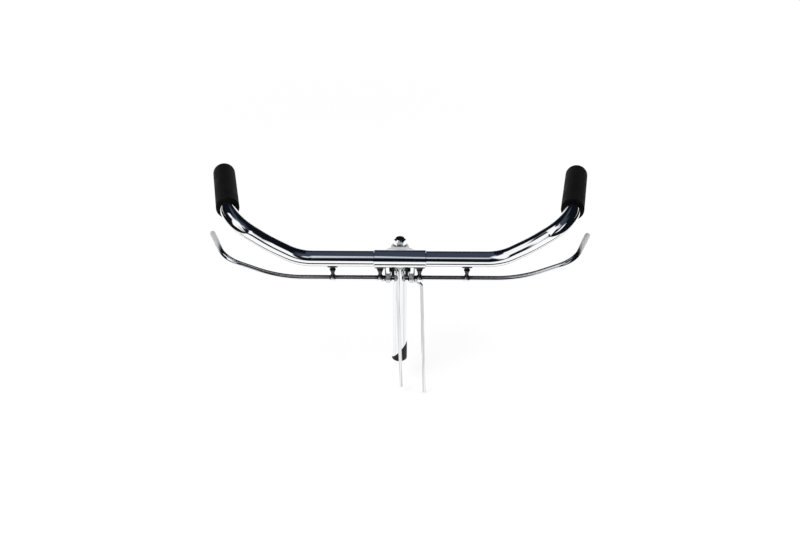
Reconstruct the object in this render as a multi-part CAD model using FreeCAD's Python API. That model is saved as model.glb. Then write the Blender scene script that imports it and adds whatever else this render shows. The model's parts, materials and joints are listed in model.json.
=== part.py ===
import FreeCAD, Part
import math
import os

Vector = FreeCAD.Vector

# A roadster handlebar with rod-brake levers, in millimetres and degrees.
# The origin is on the steering axis, where the quill leaves the stem lug. +Z points up that axis, -Y points
# forward and +X is on the right as seen from the front, so left_ pieces have negative X.

# Handlebar tube
bar_diameter = 22.2
bar_wall = 1.6
bar_inner_bend_x = 137.5
bar_inner_bend_radius = 70.0
bar_lower_run = 47.5
bar_lower_rise_angle = 30.3
bar_middle_bend_radius = 200.0
bar_upper_run = 62.0
bar_upper_rise_angle = 36.8
bar_outer_bend_radius = 38.0
grip_splay_angle = 10.0
grip_droop_angle = 4.5

# Grips
grip_setback = 35.0
grip_length = 121.0
grip_mouth_diameter = 31.9
grip_tail_diameter = 31.2
grip_end_wall = 4.0
grip_tail_round = 9.0
grip_mouth_round = 1.2

# Stem lug
stem_reach = 40.0
bar_height = 36.0
sleeve_overhang = 8.5
sleeve_wall = 1.3
sleeve_end_chamfer = 0.7
boss_wall = 1.7
boss_height = 31.0
boss_crown = 4.5
boss_top_round = 2.5
web_side_inset = 3.0
web_front_half_height = 9.5
web_edge_round = 4.5
web_rear_inset = 1.5
web_flare_power = 2.1
web_top_power = 2.0
web_drop_power = 3.0
web_stations = 6

# Quill and its clamp
quill_diameter = 22.2
quill_wall = 2.2
quill_seat_step = 0.2
quill_shoulder_gap = 0.5
quill_short_side = 133.0
quill_long_side = 162.0
wedge_tail = 4.0
wedge_chamfer = 1.0
bolt_diameter = 8.0
bolt_head_across_flats = 15.5
bolt_head_height = 10.4
hex_crown_angle = 40.0
hex_crown_share = 0.78
bolt_tip_inset = 2.0
washer_diameter = 19.4
washer_thickness = 2.0
washer_seat_gap = 0.8

# Levers
lever_diameter = 8.0
lever_drop = 32.2
lever_bend_offset = 28.0
lever_corner_offset = 9.7
lever_inner_bend_radius = 162.0
lever_slant_angle = 22.6
lever_outer_bend_radius = 32.0
lever_hand_run = 65.4
lever_hand_splay_angle = 22.6
lever_hand_rise_angle = 2.3

# Lever brackets
outer_bracket_inset = 45.5
bracket_ball_diameter = 11.2
bracket_neck_diameter = 4.8
bracket_bead_diameter = 8.8
bracket_waist_diameter = 5.6
bracket_flare_diameter = 11.6
bracket_neck_level = 8.4
bracket_bead_level = 13.6
bracket_bead_height = 1.6
bracket_flare_height = 2.0
saddle_diameter = 15.6
saddle_thickness = 1.5

# Cranks on the levers' inner ends
crank_thickness = 4.0
crank_hub_diameter = 14.0
crank_eye_diameter = 9.6
crank_eye_back = 17.0
crank_eye_up = 3.0
crank_square = 5.6
crank_stud_diameter = 5.0
crank_washer_diameter = 10.0
crank_washer_thickness = 0.8
crank_nut_across_flats = 8.0
crank_nut_height = 3.2
crank_stud_proud = 0.6

# Return springs
spring_wire = 1.8
spring_mean_diameter = 12.0
spring_turns = 4
spring_run = 8.1
spring_bracket_gap = 7.5
spring_hole_back = 10.0
spring_hole_up = 4.2
spring_hook_depth = 2.6
spring_hook_radius = 1.3

# Brake rods
rod_diameter = 4.8
rod_neck_gap = 3.0
rod_hook_radius = 3.2
rod_bend_radius = 9.0
rod_tip_chamfer = 0.6
left_rod_foot_x = 3.0
left_rod_foot_drop = 239.0
right_rod_neck_drop = 40.0
right_rod_offset_x = 30.5
right_rod_offset_drop = 53.0
right_rod_foot_x = 37.2
right_rod_foot_drop = 249.5
collar_diameter = 8.4
collar_thickness = 3.0
collar_edge_round = 0.6

# Clearances, each measured on the radius or face to face
braze_gap = 0.05
push_fit = 0.05
running_fit = 0.1
side_play = 0.3

# Sizes that follow
bar_radius = bar_diameter / 2
sleeve_radius = bar_radius + sleeve_wall
quill_radius = quill_diameter / 2
quill_seat_radius = quill_radius - quill_seat_step
boss_radius = quill_radius + boss_wall
lever_radius = lever_diameter / 2
rod_radius = rod_diameter / 2
wire_radius = spring_wire / 2
bar_centre = Vector(0, -stem_reach, bar_height)
lever_centre = bar_centre - Vector(0, 0, lever_drop)
crank_eye = lever_centre + Vector(0, crank_eye_back, crank_eye_up)
rod_neck_x = rod_neck_gap / 2 + rod_radius
crank_inner_x = rod_neck_x + rod_hook_radius + side_play
crank_outer_x = crank_inner_x + crank_thickness
spring_end_x = crank_outer_x + spring_run
inner_bracket_x = spring_end_x + spring_bracket_gap
outer_bracket_x = bar_inner_bend_x - outer_bracket_inset
sleeve_length = 2 * (inner_bracket_x + sleeve_overhang)
web_front_half_width = sleeve_length / 2 - web_side_inset
grip_tail = grip_setback + grip_length
head_seat = boss_height + washer_thickness

along_x = Vector(1, 0, 0)
along_y = Vector(0, 1, 0)
along_z = Vector(0, 0, 1)


def mirrored(shape):
    """The same piece on the other side of the steering plane."""
    return shape.mirror(Vector(0, 0, 0), along_x)


def mirrored_point(point):
    return Vector(-point.x, point.y, point.z)


def rising(angle):
    """The direction in the plane of the bar that points outward and up at this angle."""
    return Vector(math.cos(math.radians(angle)), 0, math.sin(math.radians(angle)))


def rearward(splay, rise):
    """The direction that points rearward, turned outward by splay and up by rise."""
    level = math.cos(math.radians(rise))
    sideways = math.sin(math.radians(splay)) * level
    back = math.cos(math.radians(splay)) * level
    return Vector(sideways, back, math.sin(math.radians(rise)))


def rounded_path(corners, radii):
    """Straight runs through the corners, with a tangent arc of its own radius at each inner corner."""
    edges = []
    start = corners[0]
    for before, corner, after, radius in zip(corners, corners[1:], corners[2:], radii):
        arriving = (corner - before).normalize()
        leaving = (after - corner).normalize()
        half_turn = arriving.getAngle(leaving) / 2
        setback = radius * math.tan(half_turn)
        arc_start = corner - arriving * setback
        arc_end = corner + leaving * setback
        inward = (leaving - arriving).normalize()
        arc_middle = corner + inward * (radius / math.cos(half_turn) - radius)
        edges.append(Part.LineSegment(start, arc_start).toShape())
        edges.append(Part.Arc(arc_start, arc_middle, arc_end).toShape())
        start = arc_end
    edges.append(Part.LineSegment(start, corners[-1]).toShape())
    return Part.Wire(edges)


def swept_bar(path, radius):
    """A round bar along a path, square at both ends."""
    first = path.OrderedEdges[0]
    origin = first.valueAt(first.FirstParameter)
    direction = first.tangentAt(first.FirstParameter)
    section = Part.Wire(Part.Circle(origin, direction, radius).toShape())
    return path.makePipeShell([section], True, False)


def closed_face(*edges):
    """A flat face inside curves that follow each other."""
    return Part.Face(Part.Wire([edge.toShape() for edge in edges]))


def turned(profile, axis_point, axis):
    """A solid of revolution from a face that has one edge on its axis."""
    return profile.revolve(axis_point, axis, 360)


def rod_between(start, end, radius):
    run = end - start
    return Part.makeCylinder(radius, run.Length, start, run)


def joined(*shapes):
    return shapes[0].multiFuse(list(shapes[1:])).removeSplitter()


def hexagon(across_flats, height, base):
    """A hexagonal prism on a base point, along +Z, with two corners on the X axis."""
    corner_radius = across_flats / math.sqrt(3)
    corners = []
    for step in range(7):
        angle = math.radians(60 * step)
        corners.append(base + Vector(corner_radius * math.cos(angle), corner_radius * math.sin(angle), 0))
    return Part.Face(Part.makePolygon(corners)).extrude(Vector(0, 0, height))


def crowned(prism, across_flats, height, base):
    """The prism with its upper corners turned off in a shallow cone."""
    corner_radius = across_flats / math.sqrt(3)
    face_radius = across_flats / 2 * hex_crown_share
    fall = (corner_radius - face_radius) * math.tan(math.radians(hex_crown_angle))
    shoulder = height - fall
    points = [Vector(0, 0, 0), Vector(corner_radius, 0, 0), Vector(corner_radius, 0, shoulder),
              Vector(face_radius, 0, height), Vector(0, 0, height)]
    outline = Part.makePolygon([base + point for point in points] + [base])
    return prism.common(turned(Part.Face(outline), base, along_z))


def bar_corners():
    """The right half of the bar's centreline: both bends, the outer bend and the way the grip points."""
    inner = bar_centre + Vector(bar_inner_bend_x, 0, 0)
    middle = inner + rising(bar_lower_rise_angle) * bar_lower_run
    outer = middle + rising(bar_upper_rise_angle) * bar_upper_run
    return inner, middle, outer, rearward(grip_splay_angle, -grip_droop_angle)


def handlebar_tube():
    inner, middle, outer, grip_way = bar_corners()
    end = outer + grip_way * (grip_tail - grip_end_wall)
    right = [inner, middle, outer, end]
    left = [mirrored_point(point) for point in reversed(right)]
    half_radii = [bar_inner_bend_radius, bar_middle_bend_radius, bar_outer_bend_radius]
    path = rounded_path(left + right, list(reversed(half_radii)) + half_radii)
    return swept_bar(path, bar_radius).cut(swept_bar(path, bar_radius - bar_wall))


def grip():
    """The right grip: a closed sleeve turned about the end of the bar."""
    mouth_radius = grip_mouth_diameter / 2
    tail_radius = grip_tail_diameter / 2
    bore = bar_radius + push_fit
    bore_end = grip_length - grip_end_wall
    slope = 1 - math.sqrt(0.5)
    tail_start = grip_length - grip_tail_round
    profile = closed_face(
        Part.LineSegment(Vector(0, 0, grip_length), Vector(0, 0, bore_end)),
        Part.LineSegment(Vector(0, 0, bore_end), Vector(bore, 0, bore_end)),
        Part.LineSegment(Vector(bore, 0, bore_end), Vector(bore, 0, 0)),
        Part.LineSegment(Vector(bore, 0, 0), Vector(mouth_radius - grip_mouth_round, 0, 0)),
        Part.Arc(Vector(mouth_radius - grip_mouth_round, 0, 0),
                 Vector(mouth_radius - grip_mouth_round * slope, 0, grip_mouth_round * slope),
                 Vector(mouth_radius, 0, grip_mouth_round)),
        Part.LineSegment(Vector(mouth_radius, 0, grip_mouth_round), Vector(tail_radius, 0, tail_start)),
        Part.Arc(Vector(tail_radius, 0, tail_start),
                 Vector(tail_radius - grip_tail_round * slope, 0, grip_length - grip_tail_round * slope),
                 Vector(tail_radius - grip_tail_round, 0, grip_length)),
        Part.LineSegment(Vector(tail_radius - grip_tail_round, 0, grip_length), Vector(0, 0, grip_length)))
    shape = turned(profile, Vector(0, 0, 0), along_z)
    _, _, outer, grip_way = bar_corners()
    shape.Placement = FreeCAD.Placement(outer + grip_way * grip_setback, FreeCAD.Rotation(along_z, grip_way))
    return shape


def web_section(share):
    """One upright section of the lug's web, from 0 at the bar to 1 at the quill."""
    rear_half_width = boss_radius - web_rear_inset
    half_width = rear_half_width + (web_front_half_width - rear_half_width) * (1 - share) ** web_flare_power
    front_top = bar_height + web_front_half_height
    rear_top = boss_height - boss_top_round
    top = front_top - (front_top - rear_top) * share ** web_top_power
    bottom = bar_height - web_front_half_height
    bottom = bottom * (1 - share ** web_drop_power) + boss_top_round * share ** web_drop_power
    y = -stem_reach + stem_reach * share
    round_ = min(web_edge_round, half_width / 2)
    slope = round_ * (1 - math.sqrt(0.5))
    edges = []
    middle_height = (top + bottom) / 2
    half_height = (top - bottom) / 2
    for turn in range(4):
        across = half_width if turn in (0, 1) else -half_width
        up = half_height if turn in (0, 3) else -half_height
        inward_x = math.copysign(1, across)
        inward_z = math.copysign(1, up)
        side = Vector(across, y, middle_height + up - inward_z * round_)
        bend = Vector(across - inward_x * slope, y, middle_height + up - inward_z * slope)
        flat = Vector(across - inward_x * round_, y, middle_height + up)
        edges.append([flat, bend, side] if turn in (0, 2) else [side, bend, flat])
    shapes = []
    for arc, following in zip(edges, edges[1:] + edges[:1]):
        shapes.append(Part.Arc(*arc).toShape())
        shapes.append(Part.LineSegment(arc[2], following[0]).toShape())
    return Part.Wire(shapes)


def stem_lug():
    """The forged lug: a sleeve for the bar and a boss for the quill, joined by a web that flares forward."""
    sleeve_start = bar_centre - Vector(sleeve_length / 2, 0, 0)
    sleeve = Part.makeCylinder(sleeve_radius, sleeve_length, sleeve_start, along_x)
    rims = [edge for edge in sleeve.Edges if edge.Curve.TypeId == "Part::GeomCircle"]
    sleeve = sleeve.makeChamfer(sleeve_end_chamfer, rims)
    boss = Part.makeCylinder(boss_radius, boss_height - quill_shoulder_gap, Vector(0, 0, quill_shoulder_gap))
    top_rim = [edge for edge in boss.Edges if edge.CenterOfMass.z > boss_height - push_fit]
    boss = boss.makeFillet(boss_top_round, top_rim)
    web = Part.makeLoft([web_section(step / (web_stations - 1)) for step in range(web_stations)], True, False)
    lug = joined(sleeve, web, boss)
    bar_bore = Part.makeCylinder(bar_radius + braze_gap, sleeve_length, sleeve_start, along_x)
    quill_bore = Part.makeCylinder(quill_seat_radius + braze_gap, boss_height - boss_crown)
    bolt_hole = Part.makeCylinder(bolt_diameter / 2 + side_play, boss_height)
    seat_radius = washer_diameter / 2 + washer_seat_gap
    washer_seat = Part.makeCylinder(seat_radius, bar_height, Vector(0, 0, boss_height))
    return lug.cut(bar_bore).cut(quill_bore).cut(bolt_hole).cut(washer_seat)


def below_slant(offset):
    """A prism that holds everything under the slanted joint between the quill and its wedge."""
    reach = 2 * quill_radius
    fall = (quill_long_side - quill_short_side) / (2 * quill_radius)
    middle = -(quill_short_side + quill_long_side) / 2 - offset
    low = -quill_long_side - wedge_tail
    corners = [Vector(-reach, -reach, low), Vector(reach, -reach, low),
               Vector(reach, -reach, middle + fall * reach), Vector(-reach, -reach, middle - fall * reach)]
    return Part.Face(Part.makePolygon(corners + corners[:1])).extrude(Vector(0, 2 * reach, 0))


def quill_tube():
    """The quill: a tube with a turned-down seat inside the lug's boss and a slanted lower end."""
    seat_height = boss_height - boss_crown - braze_gap
    base = Vector(0, 0, -quill_long_side)
    shaft = Part.makeCylinder(quill_radius, quill_long_side, base)
    seat = Part.makeCylinder(quill_seat_radius, seat_height)
    bore = Part.makeCylinder(quill_radius - quill_wall, quill_long_side + seat_height, base)
    return joined(shaft, seat).cut(bore).cut(below_slant(0))


def expander_wedge():
    base = Vector(0, 0, -quill_long_side - wedge_tail)
    length = quill_long_side + wedge_tail
    body = Part.makeCylinder(quill_radius, length, base)
    foot = [edge for edge in body.Edges if edge.CenterOfMass.z < base.z + push_fit]
    body = body.makeChamfer(wedge_chamfer, foot)
    thread = Part.makeCylinder(bolt_diameter / 2 + running_fit, length, base)
    return body.common(below_slant(push_fit)).cut(thread)


def expander_bolt():
    base = Vector(0, 0, head_seat)
    prism = hexagon(bolt_head_across_flats, bolt_head_height, base)
    head = crowned(prism, bolt_head_across_flats, bolt_head_height, base)
    tip = Vector(0, 0, -quill_long_side - wedge_tail + bolt_tip_inset)
    return joined(head, rod_between(tip, base, bolt_diameter / 2))


def ring(outer_diameter, bore_radius, thickness, base, axis):
    """A flat washer."""
    disc = Part.makeCylinder(outer_diameter / 2, thickness, base, axis)
    return disc.cut(Part.makeCylinder(bore_radius, thickness, base, axis))


def bolt_washer():
    return ring(washer_diameter, bolt_diameter / 2 + side_play, washer_thickness,
                Vector(0, 0, boss_height), along_z)


def pillar_profile(carrier_radius):
    """Half of the pillar's outline, up from the lever's axis: ball, widening neck, bead, waist and flare."""
    ball = bracket_ball_diameter / 2
    neck = bracket_neck_diameter / 2
    bead = bracket_bead_diameter / 2
    waist = bracket_waist_diameter / 2
    flare = bracket_flare_diameter / 2
    flare_level = lever_drop - carrier_radius - saddle_thickness / 2
    waist_level = flare_level - bracket_flare_height
    bead_top = bracket_bead_level + bracket_bead_height
    bead_middle = bracket_bead_level + bracket_bead_height / 2
    neck_round = (neck ** 2 + bracket_neck_level ** 2 - ball ** 2) / (2 * (ball - neck))
    neck_centre = Vector(0, neck + neck_round, bracket_neck_level)
    neck_foot = neck_centre * (ball / (ball + neck_round))
    neck_way = (Vector(0, -1, 0) - neck_centre / neck_centre.Length).normalize()
    flare_middle = Vector(0, (flare + waist) / 2 - bracket_flare_height / 4, (flare_level + waist_level) / 2)
    bead_edge = bead - bracket_bead_height / 4
    return closed_face(
        Part.LineSegment(Vector(0, 0, -ball), Vector(0, 0, lever_drop)),
        Part.LineSegment(Vector(0, 0, lever_drop), Vector(0, flare, lever_drop)),
        Part.LineSegment(Vector(0, flare, lever_drop), Vector(0, flare, flare_level)),
        Part.Arc(Vector(0, flare, flare_level), flare_middle, Vector(0, waist, waist_level)),
        Part.LineSegment(Vector(0, waist, waist_level), Vector(0, bead_edge, bead_top)),
        Part.Arc(Vector(0, bead_edge, bead_top), Vector(0, bead, bead_middle),
                 Vector(0, bead_edge, bracket_bead_level)),
        Part.LineSegment(Vector(0, bead_edge, bracket_bead_level), Vector(0, neck, bracket_neck_level)),
        Part.Arc(Vector(0, neck, bracket_neck_level), neck_centre + neck_way * neck_round, neck_foot),
        Part.Arc(neck_foot, Vector(0, ball, 0), Vector(0, 0, -ball)))


def bracket(x, carrier_radius):
    """A pillar with a saddle under the bar and a bored ball that carries the lever."""
    foot = lever_centre + Vector(x, 0, 0)
    pillar = turned(pillar_profile(carrier_radius), Vector(0, 0, 0), along_z)
    pillar.translate(foot)
    saddle_start = bar_centre + Vector(x - saddle_diameter / 2, 0, 0)
    band = Part.makeCylinder(carrier_radius + saddle_thickness, saddle_diameter, saddle_start, along_x)
    saddle = band.common(Part.makeCylinder(saddle_diameter / 2, lever_drop, foot))
    carrier_start = bar_centre + Vector(x - saddle_diameter, 0, 0)
    carrier = Part.makeCylinder(carrier_radius + braze_gap, 2 * saddle_diameter, carrier_start, along_x)
    bearing_start = foot - Vector(bracket_ball_diameter, 0, 0)
    bearing = Part.makeCylinder(lever_radius + running_fit, 2 * bracket_ball_diameter, bearing_start, along_x)
    return joined(pillar, saddle).cut(carrier).cut(bearing)


def lever():
    """The right lever: a rod that bends where the bar does, with a square and a stud for its crank."""
    bar_inner, _, bar_outer, _ = bar_corners()
    inner = lever_centre + Vector(bar_inner.x + lever_bend_offset, 0, 0)
    slant = rising(lever_slant_angle)
    outer = inner + slant * ((bar_outer.x + lever_corner_offset - inner.x) / slant.x)
    tip = outer + rearward(lever_hand_splay_angle, lever_hand_rise_angle) * lever_hand_run
    shoulder = lever_centre + Vector(crank_outer_x, 0, 0)
    path = rounded_path([shoulder, inner, outer, tip], [lever_inner_bend_radius, lever_outer_bend_radius])
    rod = swept_bar(path, lever_radius)
    half = crank_square / 2
    seat = crank_inner_x + push_fit
    square = Part.makeBox(crank_outer_x - seat, crank_square, crank_square,
                          lever_centre + Vector(seat, -half, -half))
    stud_end = crank_inner_x - crank_washer_thickness - crank_nut_height - crank_stud_proud
    stud = rod_between(lever_centre + Vector(stud_end, 0, 0), shoulder, crank_stud_diameter / 2)
    cap = Part.makeSphere(lever_radius, tip, tip - outer, 0, 90)
    return joined(rod, cap, square, stud)


def crank_plate():
    """The right crank: a flat plate with a square hub hole, a hole for the spring and an eye for the rod."""
    span = Vector(0, crank_eye_back, crank_eye_up)
    hub_radius = crank_hub_diameter / 2
    eye_radius = crank_eye_diameter / 2
    heading = math.atan2(crank_eye_up, crank_eye_back)
    open_angle = math.acos((hub_radius - eye_radius) / span.Length)

    def rim(centre, radius, angle):
        return centre + Vector(0, radius * math.cos(heading + angle), radius * math.sin(heading + angle))

    hub = Vector(0, 0, 0)
    outline = closed_face(
        Part.Arc(rim(hub, hub_radius, open_angle), rim(hub, hub_radius, math.pi),
                 rim(hub, hub_radius, -open_angle)),
        Part.LineSegment(rim(hub, hub_radius, -open_angle), rim(span, eye_radius, -open_angle)),
        Part.Arc(rim(span, eye_radius, -open_angle), rim(span, eye_radius, 0),
                 rim(span, eye_radius, open_angle)),
        Part.LineSegment(rim(span, eye_radius, open_angle), rim(hub, hub_radius, open_angle)))
    plate = outline.extrude(Vector(crank_thickness, 0, 0))
    half = crank_square / 2 + push_fit
    square = Part.makeBox(crank_thickness, 2 * half, 2 * half, Vector(0, -half, -half))
    eye = Part.makeCylinder(rod_radius + running_fit, crank_thickness, span, along_x)
    spring_hole = Part.makeCylinder(wire_radius + running_fit, crank_thickness,
                                    Vector(0, spring_hole_back, spring_hole_up), along_x)
    plate = plate.cut(square).cut(eye).cut(spring_hole)
    plate.translate(lever_centre + Vector(crank_inner_x, 0, 0))
    return plate


def crank_washer():
    return ring(crank_washer_diameter, crank_stud_diameter / 2 + push_fit, crank_washer_thickness,
                lever_centre + Vector(crank_inner_x - crank_washer_thickness, 0, 0), along_x)


def crank_nut():
    """The nut on the right crank's stud, with its crowned face towards the middle of the bar."""
    base = Vector(0, 0, 0)
    prism = hexagon(crank_nut_across_flats, crank_nut_height, base)
    nut = crowned(prism, crank_nut_across_flats, crank_nut_height, base)
    nut = nut.cut(Part.makeCylinder(crank_stud_diameter / 2 + push_fit, crank_nut_height))
    seat = lever_centre + Vector(crank_inner_x - crank_washer_thickness, 0, 0)
    nut.Placement = FreeCAD.Placement(seat, FreeCAD.Rotation(along_z, Vector(-1, 0, 0)))
    return nut


def return_spring():
    """The right torsion spring: one end hooks into the crank, the other bears up on the lug's sleeve."""
    mean = spring_mean_diameter / 2
    hole = Vector(0, spring_hole_back, spring_hole_up)
    start_angle = math.atan2(hole.z, hole.y) + math.acos(mean / hole.Length)
    leg_run = math.sqrt(hole.Length ** 2 - mean ** 2)
    turns = spring_turns - start_angle / (2 * math.pi)
    leg_x = crank_outer_x + side_play + wire_radius
    drift = leg_run / (leg_run + 2 * math.pi * mean * turns)
    start_x = leg_x + (spring_end_x - leg_x) * drift
    pitch = (spring_end_x - start_x) / turns
    helix = Part.makeHelix(pitch, spring_end_x - start_x, mean)
    to_lever = FreeCAD.Rotation(along_y, along_z, along_x)
    to_start = FreeCAD.Rotation(along_z, math.degrees(start_angle))
    helix.Placement = FreeCAD.Placement(lever_centre + Vector(start_x, 0, 0), to_lever.multiply(to_start))
    coil = helix.Edges[0]
    start = coil.valueAt(coil.FirstParameter)
    end = coil.valueAt(coil.LastParameter)
    way_in = coil.tangentAt(coil.FirstParameter)
    way_out = coil.tangentAt(coil.LastParameter)
    hook = start - way_in * (leg_run / way_in.cross(along_x).Length)
    hook_tip = Vector(crank_outer_x - spring_hook_depth, hook.y, hook.z)
    front_of_leg = mean - wire_radius
    sleeve_drop = math.sqrt(sleeve_radius ** 2 - front_of_leg ** 2)
    leg_rise = bar_height - sleeve_drop - side_play - end.z
    leg_top = end + way_out * (leg_rise / way_out.z)
    crank_end = rounded_path([hook_tip, hook, start], [spring_hook_radius])
    path = Part.Wire(crank_end.OrderedEdges + [coil, Part.LineSegment(end, leg_top).toShape()])
    return swept_bar(path, wire_radius)


def rod_hook(side):
    """The first two corners of a brake rod: its end outside the collar, and the bend inside the crank."""
    outer_x = crank_outer_x + side_play + collar_thickness + side_play
    outer = crank_eye + Vector(side * outer_x, 0, 0)
    bend = crank_eye + Vector(side * rod_neck_x, 0, 0)
    return outer, bend


def rod_point(x, drop):
    """A point of a brake rod, this far below the bar's axis."""
    return Vector(x, crank_eye.y, bar_height - drop)


def chamfered_rod(path):
    rod = swept_bar(path, rod_radius)
    rims = [face for face in rod.Faces if face.Surface.TypeId == "Part::GeomPlane"]
    return rod.makeChamfer(rod_tip_chamfer, [face.OuterWire.Edges[0] for face in rims])


def left_brake_rod():
    outer, bend = rod_hook(-1)
    foot = rod_point(left_rod_foot_x, left_rod_foot_drop)
    return chamfered_rod(rounded_path([outer, bend, foot], [rod_hook_radius]))


def right_brake_rod():
    outer, bend = rod_hook(1)
    corners = [outer, bend, rod_point(bend.x, right_rod_neck_drop),
               rod_point(right_rod_offset_x, right_rod_offset_drop),
               rod_point(right_rod_foot_x, right_rod_foot_drop)]
    return chamfered_rod(rounded_path(corners, [rod_hook_radius, rod_bend_radius, rod_bend_radius]))


def rod_collar():
    """The collar on the right rod's hook, outside the crank's eye."""
    base = crank_eye + Vector(crank_outer_x + side_play, 0, 0)
    collar = ring(collar_diameter, rod_radius + push_fit, collar_thickness, base, along_x)
    rims = [edge for edge in collar.Edges
            if edge.Curve.TypeId == "Part::GeomCircle" and edge.Curve.Radius > rod_radius + collar_edge_round]
    return collar.makeFillet(collar_edge_round, rims)


def all_nodes():
    nodes = {
        "handlebar_tube": handlebar_tube(),
        "stem_lug": stem_lug(),
        "quill_tube": quill_tube(),
        "expander_bolt": expander_bolt(),
        "bolt_washer": bolt_washer(),
        "expander_wedge": expander_wedge(),
        "outer_left_bracket": bracket(-outer_bracket_x, bar_radius),
        "inner_left_bracket": bracket(-inner_bracket_x, sleeve_radius),
        "inner_right_bracket": bracket(inner_bracket_x, sleeve_radius),
        "outer_right_bracket": bracket(outer_bracket_x, bar_radius),
        "left_brake_rod": left_brake_rod(),
        "right_brake_rod": right_brake_rod(),
    }
    pairs = {"grip": grip, "brake_lever": lever, "crank_plate": crank_plate, "crank_washer": crank_washer,
             "crank_nut": crank_nut, "return_spring": return_spring, "rod_collar": rod_collar}
    for name, make in pairs.items():
        nodes["right_" + name] = make()
        nodes["left_" + name] = mirrored(nodes["right_" + name])
    return nodes


os.makedirs("parts", exist_ok=True)
for name, shape in all_nodes().items():
    shape.exportStep(os.path.join("parts", name + ".step"))
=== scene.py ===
import json
import math

import bpy
from mathutils import Matrix, Vector


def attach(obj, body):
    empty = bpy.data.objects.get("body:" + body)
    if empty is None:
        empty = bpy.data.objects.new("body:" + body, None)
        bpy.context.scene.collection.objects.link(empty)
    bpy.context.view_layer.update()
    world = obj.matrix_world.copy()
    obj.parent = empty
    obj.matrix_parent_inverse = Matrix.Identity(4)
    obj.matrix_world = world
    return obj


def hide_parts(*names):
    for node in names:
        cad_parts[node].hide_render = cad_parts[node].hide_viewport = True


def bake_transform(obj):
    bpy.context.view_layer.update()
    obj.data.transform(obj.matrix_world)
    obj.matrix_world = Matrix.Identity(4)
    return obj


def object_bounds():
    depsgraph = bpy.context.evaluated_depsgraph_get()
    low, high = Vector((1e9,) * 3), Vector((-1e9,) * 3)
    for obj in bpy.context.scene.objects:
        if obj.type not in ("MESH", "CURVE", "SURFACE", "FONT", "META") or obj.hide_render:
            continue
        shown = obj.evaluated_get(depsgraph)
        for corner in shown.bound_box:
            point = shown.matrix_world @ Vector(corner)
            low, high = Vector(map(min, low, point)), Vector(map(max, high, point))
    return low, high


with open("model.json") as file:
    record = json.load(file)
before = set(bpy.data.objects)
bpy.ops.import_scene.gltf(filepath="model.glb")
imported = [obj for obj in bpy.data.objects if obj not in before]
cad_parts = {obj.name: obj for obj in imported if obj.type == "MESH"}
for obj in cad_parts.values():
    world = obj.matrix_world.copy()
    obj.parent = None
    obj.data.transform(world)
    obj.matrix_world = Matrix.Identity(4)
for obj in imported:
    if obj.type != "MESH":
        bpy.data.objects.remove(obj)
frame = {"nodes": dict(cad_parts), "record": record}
CAD_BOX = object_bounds()

# The photograph's frame and view, in pixels, degrees and metres. The sensor is in millimetres.
PHOTO_WIDTH = 800
PHOTO_HEIGHT = 536
SENSOR_WIDTH = 36.0
VIEW_AZIMUTH = 0.0
VIEW_ELEVATION = 34.0
VIEW_ROLL = 0.3
VIEW_DISTANCE = 1.6
METRES_PER_PIXEL = 0.001362
BAR_CENTRE = Vector((0.0, -0.040, 0.036))
BAR_CENTRE_PIXEL = (399.9, 258.7)

# The bar's centreline on the right, as its solid has it, in metres and degrees
TUBE_RADIUS = 0.0111
SLEEVE_RADIUS = 0.0124
INNER_BEND_X = 0.1375
INNER_BEND_RADIUS = 0.070
LOWER_RUN = 0.0475
LOWER_RISE = 30.3
MIDDLE_BEND_RADIUS = 0.200
UPPER_RUN = 0.062
UPPER_RISE = 36.8
OUTER_BEND_RADIUS = 0.038
GRIP_SPLAY = 10.0
GRIP_DROOP = 4.5
TUBE_END = 0.152
ARC_STEP = 1.5
RING_POINTS = 96

# The floor, and the bright sheet that the metal mirrors in its place
FLOOR_GAP = 0.004
FLOOR_SIZE = 16.0
FLOOR_GLOW = (0.72, 0.86)
GLOW_DISTANCES = (0.7, 2.6)
SHEET_HALF_WIDTH = 0.55
SHEET_WIDENING = 1.0
SHEET_FRONT = -2.0
SHEET_FRONT_SLANT = 3.0
SHEET_SOFTNESS = 0.06

# The flag in front of the bar
FLAG_FORWARD = -0.064
FLAG_HEIGHT = 0.020
FLAG_BEND_X = 0.1655
FLAG_BEND_RADIUS = 0.162
FLAG_RISE = 22.6
FLAG_RUN = 0.080
FLAG_RADIUS = 0.0042

# The lamps, in metres and watts
KEY_LAMP_PLACE = (-1.2, -1.4, 2.2)
KEY_LAMP_SIZE = 1.2
KEY_LAMP_POWER = 38.0
FILL_LAMP_PLACE = (1.6, -0.6, 1.8)
FILL_LAMP_SIZE = 1.4
FILL_LAMP_POWER = 22.0

# The studio in the metal: degrees up from the front horizon and round to the back, and degrees to each
# side. Leaning edges move outwards by a share of the height, and a pair of ends or heights on one thing
# is for the middle and the sides, or for the left and the right.
SOFT_EDGE = 2.5
ROOM_LIGHT = 0.55
MIRRORED_LIGHT = 1.2
BACKDROP_START = 168.0
CEILING_START = 38.0
CEILING_ENDS = (138.0, 88.0)
CEILING_FADE = 12.0
LEFT_WINDOW_SIDES = (8.0, 58.0)
LEFT_WINDOW_HEIGHTS = (-2.0, 62.0)
LEFT_BAR_FOOT = 11.0
LEFT_BAR_LEAN = 0.75
LEFT_BAR_HALF = 4.0
LEFT_BAR_TOP = 22.0
HIGH_WINDOW_SIDES = (58.0, 97.0)
HIGH_WINDOW_HEIGHTS = (42.0, 62.0)
RIGHT_WINDOW_FOOT = 8.0
RIGHT_WINDOW_LEAN = 0.9
RIGHT_WINDOW_HALF = 9.0
RIGHT_WINDOW_HEIGHTS = (7.5, 36.0)
LAMP_HEIGHTS = (53.0, 45.0)
LAMP_HALF = 9.0
LAMP_WIDENING = 90.0

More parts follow.
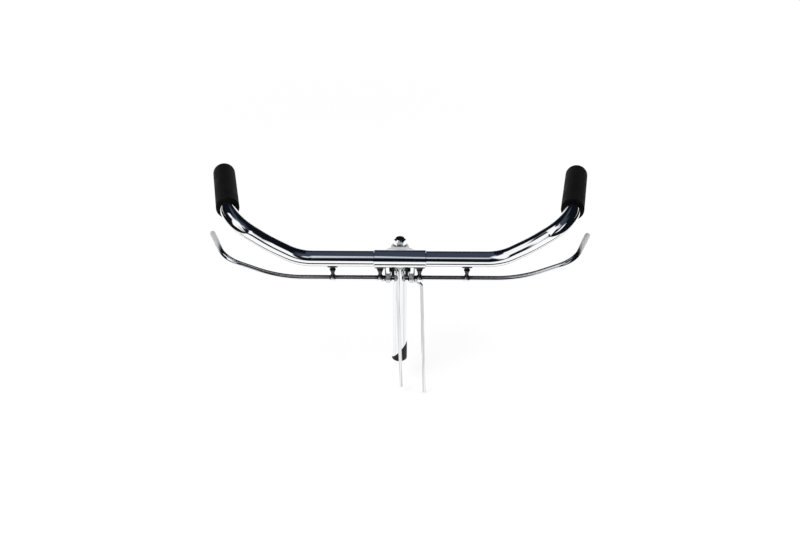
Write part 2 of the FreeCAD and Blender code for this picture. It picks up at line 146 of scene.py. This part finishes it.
# The same studio's soft edges across, as the sideways share of a direction
LEFT_SIDE = (0.02, -0.02)
RIGHT_SIDE = (-0.02, 0.02)
LAMP_STEP = (-0.03, 0.03)
LAMP_REACH = (0.24, 0.14)
CEILING_STEP = (0.08, 0.20)
CEILING_REACH = (0.60, 0.30)

# Colours, linear
CHROME_COLOUR = (0.79, 0.80, 0.81, 1.0)
# The dark of the painted shade that corners and recesses take, by how open the surface is
PAINTED_SHADE_DARK = (0.020, 0.020, 0.024, 1.0)
SATIN_COLOUR = (0.68, 0.68, 0.69, 1.0)
ROD_COLOUR = (0.72, 0.72, 0.73, 1.0)
ROD_STREAK = (0.48, 0.48, 0.49, 1.0)
QUILL_STREAK = (0.70, 0.71, 0.72, 1.0)
ZINC_COLOUR = (0.36, 0.36, 0.35, 1.0)
SPRING_COLOUR = (0.76, 0.76, 0.76, 1.0)
RUBBER_DARK = (0.002, 0.002, 0.0025, 1.0)
RUBBER_LIGHT = (0.006, 0.006, 0.0065, 1.0)
BLACK_STEEL_DARK = (0.006, 0.006, 0.006, 1.0)
BLACK_STEEL_LIGHT = (0.018, 0.018, 0.019, 1.0)
NAVY = (0.042, 0.053, 0.080, 1.0)
BLACK = (0.004, 0.005, 0.008, 1.0)
WHITE = (1.0, 1.0, 1.0, 1.0)
LAMP_COLOUR = (0.56, 0.60, 0.66, 1.0)
BACKDROP_COLOUR = (0.74, 0.75, 0.76, 1.0)
FLOOR_COLOUR = (0.30, 0.30, 0.30, 1.0)

# What the finishes share. A spread is the part of a noise that counts, a bump has a strength and a depth in
# metres, and the painted shade goes from dark to clean as the surface opens up within its reach in metres.
NOISE_DETAIL = 4.0
NOISE_ROUGHNESS = 0.55
GRAIN_SPREAD = (0.3, 0.7)
OPENNESS_SAMPLES = 12
SATIN_METAL = 0.25

# Polished chrome
HAZE_SCALE = 38.0
HAZE_SPREAD = (0.35, 0.75)
HAZE_ROUGHNESS = (0.03, 0.08)
MARK_SCALE = 900.0
MARK_DETAIL = 2.0
MARK_BUMP = (0.012, 0.0004)

# Chrome on the fittings and levers
SPECKLE_SCALE = 600.0
SPECKLE_BUMP = (0.03, 0.0003)
# How much the speckle breaks up the painted shade in the corners
SHADE_SPECKLE = 0.12
# Painted shade on the brackets' upper part, under the bar: the share of brightness left, the height over
# which it fades in, and the height it starts at
DARK_TOP_SHARE = 0.05
DARK_TOP_FADE = 0.003
BRACKET_DARK_TOP_LINE = 0.006
# Painted shade in the corners: its reach and the openness over which it clears, on the fittings and the
# levers
FITTING_SHADE_REACH = 0.030
FITTING_SHADE_EDGES = (0.62, 0.96)
FITTING_ROUGHNESS = (0.22, 0.05)
LEVER_SHADE_REACH = 0.045
LEVER_SHADE_EDGES = (0.66, 0.96)
# Where the levers' tips turn pale, a painted reflection of the white they mirror, in metres from the middle
LEVER_PALE_TIPS = (0.243, 0.256)
PALE_TIP_ROUGHNESS = 0.45

# Drawn chrome
STREAK_STRETCH = (1.0, 1.0, 0.008)
STREAK_SCALE = 620.0
STREAK_DETAIL = 3.0
STREAK_SPREAD = (0.42, 0.62)
STREAK_ROUGHNESS = (0.06, 0.16)
STREAK_BUMP = (0.05, 0.0002)
# Painted shade where the rods pass through fittings: its reach and the openness over which it clears
DRAWN_SHADE_REACH = 0.012
DRAWN_SHADE_EDGES = (0.45, 0.80)

# The lug
SLEEVE_EDGE = (0.0002, 0.0014)
SLEEVE_ROUGHNESS = 0.05
SKIN_SCALE = 480.0
SKIN_DETAIL = 3.0
SKIN_ROUGHNESS = (0.40, 0.56)
SKIN_BUMP = (0.12, 0.0004)

# Satin steel
STEEL_SCALE = 420.0
STEEL_DETAIL = 3.0
STEEL_SHADE = 0.8
STEEL_BUMP = (0.08, 0.0003)
# Painted shade in the corners of the satin steel: its reach, and the openness over which it clears, also
# for the springs
STEEL_PAINTED_SHADE_REACH = 0.010
STEEL_PAINTED_SHADE_EDGES = (0.35, 0.80)
SPRING_PAINTED_SHADE_EDGES = (0.10, 0.50)
SPRING_ROUGHNESS = (0.10, 0.20)
WASHER_ROUGHNESS = (0.40, 0.52)
ZINC_ROUGHNESS = (0.24, 0.42)

# Black steel
MOTTLE_SCALE = 160.0
MOTTLE_DETAIL = 5.0
MOTTLE_SPREAD = (0.35, 0.65)
MOTTLE_ROUGHNESS = (0.42, 0.6)
MOTTLE_BUMP = (0.15, 0.0004)
BLACK_STEEL_SPECULAR = 0.15

# Grip rubber
PEBBLE_SCALE = 900.0
PEBBLE_BUMP = (0.35, 0.0005)
WEAR_SCALE = 45.0
RUBBER_ROUGHNESS = (0.56, 0.70)
RUBBER_SPECULAR = 0.04


class Graph:
    """Short names for the nodes that a material or the world is made of."""

    def __init__(self, tree):
        self.tree = tree
        tree.nodes.clear()

    def add(self, kind, settings=None, **inputs):
        """A new node. An input goes by its name, with _ for a space, or by i and its number."""
        node = self.tree.nodes.new(kind)
        for name, value in (settings or {}).items():
            setattr(node, name, value)
        for name, value in inputs.items():
            self.set(node, name.replace("_", " "), value)
        return node

    def set(self, node, name, value):
        numbered = name[0] == "i" and name[1:].isdigit()
        socket = node.inputs[int(name[1:]) if numbered else name]
        if isinstance(value, bpy.types.NodeSocket):
            self.tree.links.new(value, socket)
        else:
            socket.default_value = value

    def place(self):
        return self.add("ShaderNodeTexCoord").outputs["Object"]

    def axes(self, vector):
        return self.add("ShaderNodeSeparateXYZ", Vector=vector).outputs

    def math(self, operation, first, second=0.0, third=0.0):
        node = self.add("ShaderNodeMath", {"operation": operation}, i0=first, i1=second, i2=third)
        return node.outputs[0]

    def degrees(self, radians):
        return self.math("DEGREES", radians)

    def distance(self, first, second):
        return self.math("ABSOLUTE", self.math("SUBTRACT", first, second))

    def product(self, first, *others):
        for other in others:
            first = self.math("MULTIPLY", first, other)
        return first

    def scaled(self, vector, factors):
        node = self.add("ShaderNodeVectorMath", {"operation": "MULTIPLY"}, i0=vector, i1=factors)
        return node.outputs[0]

    def noise(self, vector, scale, detail=NOISE_DETAIL):
        node = self.add("ShaderNodeTexNoise", Vector=vector, Scale=scale, Detail=detail,
                        Roughness=NOISE_ROUGHNESS)
        return node.outputs["Fac"]

    def ramp(self, value, edges, results=(0.0, 1.0)):
        """A smooth step from one result to the other, as the value goes from one edge to the other."""
        node = self.add("ShaderNodeMapRange", {"interpolation_type": "SMOOTHSTEP"}, Value=value,
                        From_Min=edges[0], From_Max=edges[1], To_Min=results[0], To_Max=results[1])
        return node.outputs["Result"]

    def openness(self, reach):
        """How open the surface is within this reach: near 0 deep in a corner, 1 in the clear."""
        settings = {"samples": OPENNESS_SAMPLES}
        return self.add("ShaderNodeAmbientOcclusion", settings, Distance=reach).outputs["AO"]

    def bump(self, height, strength, depth):
        node = self.add("ShaderNodeBump", Height=height, Strength=strength, Distance=depth)
        return node.outputs["Normal"]

    def mix(self, share, first, second):
        """A mix of two colours, through the colour sockets of the mix node."""
        node = self.add("ShaderNodeMix", {"data_type": "RGBA"}, i0=share, i6=first, i7=second)
        return node.outputs[2]

    def either(self, share, first, second):
        """A mix of two shaders."""
        return self.add("ShaderNodeMixShader", Fac=share, i1=first.outputs[0], i2=second.outputs[0])

    def surface(self, **inputs):
        shader = self.add("ShaderNodeBsdfPrincipled", **inputs)
        self.add("ShaderNodeOutputMaterial", Surface=shader.outputs[0])


def new_material(name):
    material = bpy.data.materials.new(name)
    material.use_nodes = True
    return material, Graph(material.node_tree)


def chrome(name):
    """Polished plate with a faint haze that comes and goes, and hairline polishing marks."""
    material, graph = new_material(name)
    place = graph.place()
    haze = graph.noise(place, HAZE_SCALE)
    marks = graph.noise(place, MARK_SCALE, MARK_DETAIL)
    graph.surface(Base_Color=CHROME_COLOUR, Metallic=1.0,
                  Roughness=graph.ramp(haze, HAZE_SPREAD, HAZE_ROUGHNESS),
                  Normal=graph.bump(marks, *MARK_BUMP))
    return material


def fitting_chrome(name, reach, shade_edges, dark_top_line=None, pale_tips=None):
    """Chrome on the small fittings: bright in the open, dark with painted shade in the corners, and painted
    dark above the given line if there is one, as painted shade under the bar. Given tips are a pale satin,
    a painted reflection of the white they mirror."""
    material, graph = new_material(name)
    place = graph.place()
    axes = graph.axes(place)
    speckle = graph.noise(place, SPECKLE_SCALE)
    # Painted shade: the chrome darkens as the surface closes in within the reach, broken up by the speckle
    evened = graph.math("SUBTRACT", graph.openness(reach), SHADE_SPECKLE / 2)
    unshaded = graph.ramp(graph.math("MULTIPLY_ADD", speckle, SHADE_SPECKLE, evened), shade_edges)
    # Painted shade under the bar: above the given height the chrome is painted nearly black
    if dark_top_line is not None:
        dark_top = graph.ramp(axes["Z"], (dark_top_line, dark_top_line + DARK_TOP_FADE), (1.0, DARK_TOP_SHARE))
        unshaded = graph.product(unshaded, dark_top)
    colour = graph.mix(unshaded, PAINTED_SHADE_DARK, CHROME_COLOUR)
    metal = 1.0
    rough = graph.ramp(unshaded, (0.0, 1.0), FITTING_ROUGHNESS)
    # Painted reflection: the levers' tips turn to a pale satin that stands for the white they mirror
    if pale_tips is not None:
        pale_tip = graph.ramp(graph.math("ABSOLUTE", axes["X"]), pale_tips)
        colour = graph.mix(pale_tip, colour, SATIN_COLOUR)
        metal = graph.ramp(pale_tip, (0.0, 1.0), (1.0, SATIN_METAL))
        rough = graph.math("MAXIMUM", rough, graph.product(pale_tip, PALE_TIP_ROUGHNESS))
    graph.surface(Base_Color=colour, Metallic=metal, Roughness=rough,
                  Normal=graph.bump(speckle, *SPECKLE_BUMP))
    return material


def drawn_chrome(name, pale, streak):
    """Plated drawn rod and tube: faint streaks along it, and painted shade where it passes through a
    fitting.
    """
    material, graph = new_material(name)
    stretched = graph.scaled(graph.place(), STREAK_STRETCH)
    streaks = graph.noise(stretched, STREAK_SCALE, STREAK_DETAIL)
    shade = graph.mix(graph.ramp(streaks, STREAK_SPREAD), pale, streak)
    # Painted shade where the rod closes in on a fitting, by how open the surface is
    shade = graph.mix(graph.ramp(graph.openness(DRAWN_SHADE_REACH), DRAWN_SHADE_EDGES), PAINTED_SHADE_DARK, shade)
    graph.surface(Base_Color=shade, Metallic=1.0,
                  Roughness=graph.ramp(streaks, GRAIN_SPREAD, STREAK_ROUGHNESS),
                  Normal=graph.bump(streaks, *STREAK_BUMP))
    return material


def lug_finish(name):
    """The forged lug: its sleeve is polished like the bar, and its web and boss keep a satin, cast skin."""
    material, graph = new_material(name)
    place = graph.place()
    across = graph.scaled(place, (0.0, 1.0, 1.0))
    axis = (0.0, BAR_CENTRE.y, BAR_CENTRE.z)
    away = graph.add("ShaderNodeVectorMath", {"operation": "DISTANCE"}, i0=across, i1=axis)
    satin = graph.ramp(away.outputs["Value"], [SLEEVE_RADIUS + step for step in SLEEVE_EDGE])
    skin = graph.noise(place, SKIN_SCALE, SKIN_DETAIL)
    rough = graph.ramp(skin, GRAIN_SPREAD, SKIN_ROUGHNESS)
    graph.surface(Base_Color=graph.mix(satin, CHROME_COLOUR, SATIN_COLOUR),
                  Metallic=graph.ramp(satin, (0.0, 1.0), (1.0, SATIN_METAL)),
                  Roughness=graph.math("MULTIPLY_ADD", satin, rough, SLEEVE_ROUGHNESS),
                  Normal=graph.bump(graph.product(skin, satin), *SKIN_BUMP))
    return material


def satin_steel(name, colour, roughness, shade_edges=STEEL_PAINTED_SHADE_EDGES, metal=1.0):
    """Zinc-plated or drawn steel: a soft grain with uneven roughness, and painted shade in its corners."""
    material, graph = new_material(name)
    grain = graph.noise(graph.place(), STEEL_SCALE, STEEL_DETAIL)
    darker = tuple(STEEL_SHADE * channel for channel in colour[:3]) + (1.0,)
    shade = graph.mix(graph.ramp(grain, GRAIN_SPREAD), darker, colour)
    # Painted shade in the corners, by how open the surface is
    shade = graph.mix(graph.ramp(graph.openness(STEEL_PAINTED_SHADE_REACH), shade_edges), PAINTED_SHADE_DARK, shade)
    graph.surface(Base_Color=shade, Metallic=metal, Roughness=graph.ramp(grain, GRAIN_SPREAD, roughness),
                  Normal=graph.bump(grain, *STEEL_BUMP))
    return material


def black_steel(name):
    """Dark oxide finish, a little mottled."""
    material, graph = new_material(name)
    mottle = graph.noise(graph.place(), MOTTLE_SCALE, MOTTLE_DETAIL)
    shade = graph.mix(graph.ramp(mottle, MOTTLE_SPREAD), BLACK_STEEL_DARK, BLACK_STEEL_LIGHT)
    graph.surface(Base_Color=shade, Specular_IOR_Level=BLACK_STEEL_SPECULAR,
                  Roughness=graph.ramp(mottle, GRAIN_SPREAD, MOTTLE_ROUGHNESS),
                  Normal=graph.bump(mottle, *MOTTLE_BUMP))
    return material


def grip_rubber(name):
    """Moulded black rubber with a fine pebbled skin."""
    material, graph = new_material(name)
    place = graph.place()
    pebbles = graph.add("ShaderNodeTexVoronoi", {"feature": "SMOOTH_F1"}, Vector=place, Scale=PEBBLE_SCALE)
    wear = graph.noise(place, WEAR_SCALE)
    shade = graph.mix(graph.ramp(wear, GRAIN_SPREAD), RUBBER_DARK, RUBBER_LIGHT)
    graph.surface(Base_Color=shade, Specular_IOR_Level=RUBBER_SPECULAR,
                  Roughness=graph.ramp(wear, GRAIN_SPREAD, RUBBER_ROUGHNESS),
                  Normal=graph.bump(pebbles.outputs["Distance"], *PEBBLE_BUMP))
    return material


def dress(slots, nodes):
    """Gives every CAD node the material of its own name, or else that of its slot in the record."""
    for row in frame["record"]["subparts"]:
        node = frame["nodes"][row["node"]]
        node.data.materials.clear()
        node.data.materials.append(nodes.get(row["node"], slots[row["material_slot"]]))


def rising(angle):
    return Vector((math.cos(math.radians(angle)), 0.0, math.sin(math.radians(angle))))


def both_sides(right):
    """A line's corners on the right with their mirror images, from the left end to the right end."""
    return [Vector((-point.x, point.y, point.z)) for point in reversed(right)] + right


def bar_line():
    """The corners of the bar's centreline from the left end to the right, and the radius at each bend."""
    inner = BAR_CENTRE + Vector((INNER_BEND_X, 0.0, 0.0))
    middle = inner + rising(LOWER_RISE) * LOWER_RUN
    outer = middle + rising(UPPER_RISE) * UPPER_RUN
    droop = math.radians(GRIP_DROOP)
    splay = math.radians(GRIP_SPLAY)
    level = math.cos(droop)
    grip_way = Vector((math.sin(splay) * level, math.cos(splay) * level, -math.sin(droop)))
    half = [INNER_BEND_RADIUS, MIDDLE_BEND_RADIUS, OUTER_BEND_RADIUS]
    return both_sides([inner, middle, outer, outer + grip_way * TUBE_END]), half[::-1] + half


def rounded(corners, radii):
    """Places and directions along straight runs, with a fine tangent arc at each inner corner."""
    line = [(corners[0], (corners[1] - corners[0]).normalized())]
    for before, corner, after, radius in zip(corners, corners[1:], corners[2:], radii):
        arriving = (corner - before).normalized()
        leaving = (after - corner).normalized()
        turn = arriving.angle(leaving)
        axis = arriving.cross(leaving).normalized()
        start = corner - arriving * (radius * math.tan(turn / 2))
        centre = start + axis.cross(arriving) * radius
        steps = max(2, math.ceil(math.degrees(turn) / ARC_STEP))
        for step in range(steps + 1):
            spin = Matrix.Rotation(turn * step / steps, 3, axis)
            line.append((centre + spin @ (start - centre), spin @ arriving))
    line.append((corners[-1], (corners[-1] - corners[-2]).normalized()))
    return line


def swept_tube(name, line, radius):
    """A closed round tube along a line, with rings fine enough to mirror smoothly."""
    side = Vector((0.0, 0.0, 1.0))
    vertices = []
    for place, way in line:
        side = (side - way * side.dot(way)).normalized()
        other = way.cross(side)
        for point in range(RING_POINTS):
            angle = 2 * math.pi * point / RING_POINTS
            vertices.append(place + (side * math.cos(angle) + other * math.sin(angle)) * radius)
    faces = []
    for ring in range(len(line) - 1):
        low = ring * RING_POINTS
        high = low + RING_POINTS
        for point in range(RING_POINTS):
            after = (point + 1) % RING_POINTS
            faces.append((low + point, low + after, high + after, high + point))
    faces.append(tuple(reversed(range(RING_POINTS))))
    faces.append(tuple(range(len(vertices) - RING_POINTS, len(vertices))))
    mesh = bpy.data.meshes.new(name)
    mesh.from_pydata(vertices, [], faces)
    mesh.shade_smooth()
    piece = bpy.data.objects.new(name, mesh)
    bpy.context.scene.collection.objects.link(piece)
    return piece


def polished_bar(material):
    """The bar's own skin, which stands for its solid so that its bends mirror the studio without steps."""
    piece = swept_tube("polished_bar", rounded(*bar_line()), TUBE_RADIUS)
    piece.data.materials.append(material)
    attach(piece, "handlebar")
    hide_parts("handlebar_tube")


def winding_spring(end):
    """A return spring's wire as a piece of its own, copied from its CAD node, which is hidden."""
    node = end + "_return_spring"
    piece = bpy.data.objects.new(end + "_spring_wire", frame["nodes"][node].data.copy())
    bpy.context.scene.collection.objects.link(piece)
    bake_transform(piece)
    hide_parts(node)


def flag():
    """A thin black flag with the levers' bends, in front of the bar and out of the camera's sight. It draws
    the dark line along the bright underside of the polished bar."""
    bend = Vector((FLAG_BEND_X, FLAG_FORWARD, FLAG_HEIGHT))
    corners = both_sides([bend, bend + rising(FLAG_RISE) * FLAG_RUN])
    piece = swept_tube("flag", rounded(corners, [FLAG_BEND_RADIUS, FLAG_BEND_RADIUS]), FLAG_RADIUS)
    material, graph = new_material("flag_black")
    graph.surface(Base_Color=BLACK, Roughness=1.0, Specular_IOR_Level=0.0)
    piece.data.materials.append(material)
    piece.visible_camera = False
    piece.visible_diffuse = False
    piece.visible_shadow = False


def room():
    """The studio that the metal mirrors: a pale backdrop behind, a dark ceiling and a dark middle in front,
    with tall pale windows on each side of it, more of them on the left, and a dim lamp above."""
    world = bpy.data.worlds.new("studio")
    bpy.context.scene.world = world
    world.use_nodes = True
    graph = Graph(world.node_tree)
    axes = graph.axes(graph.add("ShaderNodeTexCoord").outputs["Generated"])
    side = axes["X"]
    up = axes["Z"]
    front = graph.math("MULTIPLY", axes["Y"], -1.0)
    aside = graph.math("ABSOLUTE", side)
    turn = graph.degrees(graph.math("ARCTAN2", up, front))
    swing = graph.degrees(graph.math("ARCTAN2", aside, front))
    height = graph.degrees(graph.math("ARCSINE", up))

    def above(value, edge):
        return graph.ramp(graph.math("SUBTRACT", value, edge), (-SOFT_EDGE, SOFT_EDGE))

    def below(value, edge):
        return graph.ramp(graph.math("SUBTRACT", value, edge), (SOFT_EDGE, -SOFT_EDGE))

    def panel(sides, heights):
        return graph.product(above(swing, sides[0]), below(swing, sides[1]),
                             above(height, heights[0]), below(height, heights[1]))

    def leaning(foot, lean, half):
        """A band of the studio that leans outwards as it rises."""
        middle = graph.math("MULTIPLY_ADD", height, lean, foot)
        return below(graph.distance(swing, middle), half)

    bar = leaning(LEFT_BAR_FOOT, LEFT_BAR_LEAN, LEFT_BAR_HALF)
    bar = graph.product(bar, below(height, LEFT_BAR_TOP))
    left = panel(LEFT_WINDOW_SIDES, LEFT_WINDOW_HEIGHTS)
    left = graph.product(left, graph.math("SUBTRACT", 1.0, bar))
    left = graph.math("MAXIMUM", left, panel(HIGH_WINDOW_SIDES, HIGH_WINDOW_HEIGHTS))
    left = graph.product(left, graph.ramp(side, LEFT_SIDE))
    right = leaning(RIGHT_WINDOW_FOOT, RIGHT_WINDOW_LEAN, RIGHT_WINDOW_HALF)
    right = graph.product(right, above(height, RIGHT_WINDOW_HEIGHTS[0]),
                          below(height, RIGHT_WINDOW_HEIGHTS[1]))
    right = graph.product(right, graph.ramp(side, RIGHT_SIDE))
    windows = graph.math("MAXIMUM", left, right)

    lamp_middle = graph.ramp(side, LAMP_STEP, LAMP_HEIGHTS)
    leftwards = graph.math("MINIMUM", side, 0.0)
    lamp_half = graph.math("MULTIPLY_ADD", leftwards, -LAMP_WIDENING, LAMP_HALF)
    lamp_edges = (graph.math("ADD", lamp_half, SOFT_EDGE), graph.math("SUBTRACT", lamp_half, SOFT_EDGE))
    overhead = graph.product(graph.ramp(graph.distance(turn, lamp_middle), lamp_edges),
                             graph.ramp(aside, LAMP_REACH))

    ceiling_end = graph.ramp(aside, CEILING_STEP, CEILING_ENDS)
    past_end = graph.math("SUBTRACT", turn, ceiling_end)
    ceiling = graph.product(graph.ramp(turn, (CEILING_START - SOFT_EDGE, CEILING_START + SOFT_EDGE)),
                            graph.ramp(past_end, (CEILING_FADE, -CEILING_FADE)),
                            graph.ramp(aside, CEILING_REACH))

    colour = graph.mix(ceiling, BLACK, NAVY)
    colour = graph.mix(overhead, colour, LAMP_COLOUR)
    colour = graph.mix(above(turn, BACKDROP_START), colour, BACKDROP_COLOUR)
    colour = graph.mix(windows, colour, WHITE)
    path = graph.add("ShaderNodeLightPath").outputs
    plain = graph.add("ShaderNodeBackground", Color=WHITE, Strength=ROOM_LIGHT)
    mirrored = graph.add("ShaderNodeBackground", Color=colour, Strength=MIRRORED_LIGHT)
    seen = graph.add("ShaderNodeBackground", Color=WHITE, Strength=1.0)
    unseen = graph.either(path["Is Glossy Ray"], plain, mirrored)
    whole = graph.either(path["Is Camera Ray"], unseen, seen)
    graph.add("ShaderNodeOutputWorld", Surface=whole.outputs[0])


def floor():
    """A pale floor that glows enough to read white, more so far off, and takes a soft shadow. The metal
    mirrors it as a bright sheet that widens to the back, with the dark room on both sides of it."""
    material, graph = new_material("floor_pale")
    place = graph.place()
    axes = graph.axes(place)
    aside = graph.math("ABSOLUTE", axes["X"])
    back = graph.math("MAXIMUM", axes["Y"], 0.0)
    half_width = graph.math("MULTIPLY_ADD", back, SHEET_WIDENING, SHEET_HALF_WIDTH)
    front = graph.math("MULTIPLY_ADD", axes["X"], SHEET_FRONT_SLANT, SHEET_FRONT)
    past_side = graph.math("SUBTRACT", aside, half_width)
    past_front = graph.math("SUBTRACT", axes["Y"], front)
    sheet = graph.product(graph.ramp(past_side, (SHEET_SOFTNESS, -SHEET_SOFTNESS)),
                          graph.ramp(past_front, (-SHEET_SOFTNESS, SHEET_SOFTNESS)))
    away = graph.add("ShaderNodeVectorMath", {"operation": "LENGTH"}, i0=place).outputs["Value"]
    strength = graph.ramp(away, GLOW_DISTANCES, FLOOR_GLOW)
    glow = graph.add("ShaderNodeEmission", Color=WHITE, Strength=strength)
    matte = graph.add("ShaderNodeBsdfDiffuse", Color=FLOOR_COLOUR)
    plain = graph.add("ShaderNodeAddShader", i0=glow.outputs[0], i1=matte.outputs[0])
    mirrored = graph.add("ShaderNodeEmission", Color=graph.mix(sheet, BLACK, WHITE),
                         Strength=MIRRORED_LIGHT)
    path = graph.add("ShaderNodeLightPath").outputs
    whole = graph.either(path["Is Glossy Ray"], plain, mirrored)
    graph.add("ShaderNodeOutputMaterial", Surface=whole.outputs[0])
    half = FLOOR_SIZE / 2
    level = CAD_BOX[0][2] - FLOOR_GAP
    corners = [(-half, -half, level), (half, -half, level), (half, half, level), (-half, half, level)]
    mesh = bpy.data.meshes.new("floor")
    mesh.from_pydata(corners, [], [(0, 1, 2, 3)])
    mesh.materials.append(material)
    obj = bpy.data.objects.new("floor", mesh)
    bpy.context.scene.collection.objects.link(obj)


def lamp(name, place, size, power):
    """A soft square lamp that faces the bar. The metal mirrors the studio's windows in its place."""
    data = bpy.data.lights.new(name, "AREA")
    data.size = size
    data.energy = power
    obj = bpy.data.objects.new(name, data)
    bpy.context.scene.collection.objects.link(obj)
    obj.location = place
    obj.rotation_euler = (BAR_CENTRE - Vector(place)).to_track_quat("-Z", "Y").to_euler()
    obj.visible_glossy = False


def camera():
    """The photograph's camera: the bar's centre falls on its pixel, with no lens shift."""
    azimuth = math.radians(VIEW_AZIMUTH)
    elevation = math.radians(VIEW_ELEVATION)
    back = Vector((math.sin(azimuth) * math.cos(elevation), -math.cos(azimuth) * math.cos(elevation),
                   math.sin(elevation)))
    level = Vector((math.cos(azimuth), math.sin(azimuth), 0.0))
    roll = Matrix.Rotation(math.radians(VIEW_ROLL), 3, back)
    right = roll @ level
    up = back.cross(right)
    focal = VIEW_DISTANCE / METRES_PER_PIXEL
    across = (BAR_CENTRE_PIXEL[0] - PHOTO_WIDTH / 2) / focal
    above = (PHOTO_HEIGHT / 2 - BAR_CENTRE_PIXEL[1]) / focal
    eye = BAR_CENTRE - VIEW_DISTANCE * (across * right + above * up - back)
    data = bpy.data.cameras.new("photo_view")
    data.sensor_fit = "HORIZONTAL"
    data.sensor_width = SENSOR_WIDTH
    data.lens = focal * SENSOR_WIDTH / PHOTO_WIDTH
    obj = bpy.data.objects.new("photo_view", data)
    bpy.context.scene.collection.objects.link(obj)
    turn = Matrix((right, up, back)).transposed().to_4x4()
    obj.matrix_world = Matrix.Translation(eye) @ turn
    bpy.context.scene.camera = obj


bright = chrome("chrome_plate")
fitting = fitting_chrome("fitting_chrome", FITTING_SHADE_REACH, FITTING_SHADE_EDGES)
bracket_finish = fitting_chrome("bracket_chrome", FITTING_SHADE_REACH, FITTING_SHADE_EDGES, BRACKET_DARK_TOP_LINE)
lever = fitting_chrome("lever_chrome", LEVER_SHADE_REACH, LEVER_SHADE_EDGES, pale_tips=LEVER_PALE_TIPS)
drawn = drawn_chrome("drawn_chrome", ROD_COLOUR, ROD_STREAK)
own_finish = {
    "stem_lug": lug_finish("lug_finish"),
    "quill_tube": drawn_chrome("quill_chrome", CHROME_COLOUR, QUILL_STREAK),
    "bolt_washer": satin_steel("washer_satin", SATIN_COLOUR, WASHER_ROUGHNESS, metal=SATIN_METAL),
}
for end in ("left", "right"):
    for bracket in ("inner_" + end + "_bracket", "outer_" + end + "_bracket"):
        own_finish[bracket] = bracket_finish
    own_finish[end + "_brake_lever"] = lever
    own_finish[end + "_crank_plate"] = fitting
    own_finish[end + "_rod_collar"] = fitting
    own_finish[end + "_brake_rod"] = drawn
dress({
    "chrome_plate": bright,
    "zinc_steel": satin_steel("zinc_steel", ZINC_COLOUR, ZINC_ROUGHNESS),
    "spring_steel": satin_steel("spring_steel", SPRING_COLOUR, SPRING_ROUGHNESS, SPRING_PAINTED_SHADE_EDGES),
    "black_steel": black_steel("black_steel"),
    "grip_rubber": grip_rubber("grip_rubber"),
}, own_finish)
polished_bar(bright)
winding_spring("left")
winding_spring("right")
flag()
room()
floor()
lamp("key_lamp", KEY_LAMP_PLACE, KEY_LAMP_SIZE, KEY_LAMP_POWER)
lamp("fill_lamp", FILL_LAMP_PLACE, FILL_LAMP_SIZE, FILL_LAMP_POWER)
camera()
bpy.context.scene.view_settings.view_transform = "Standard"
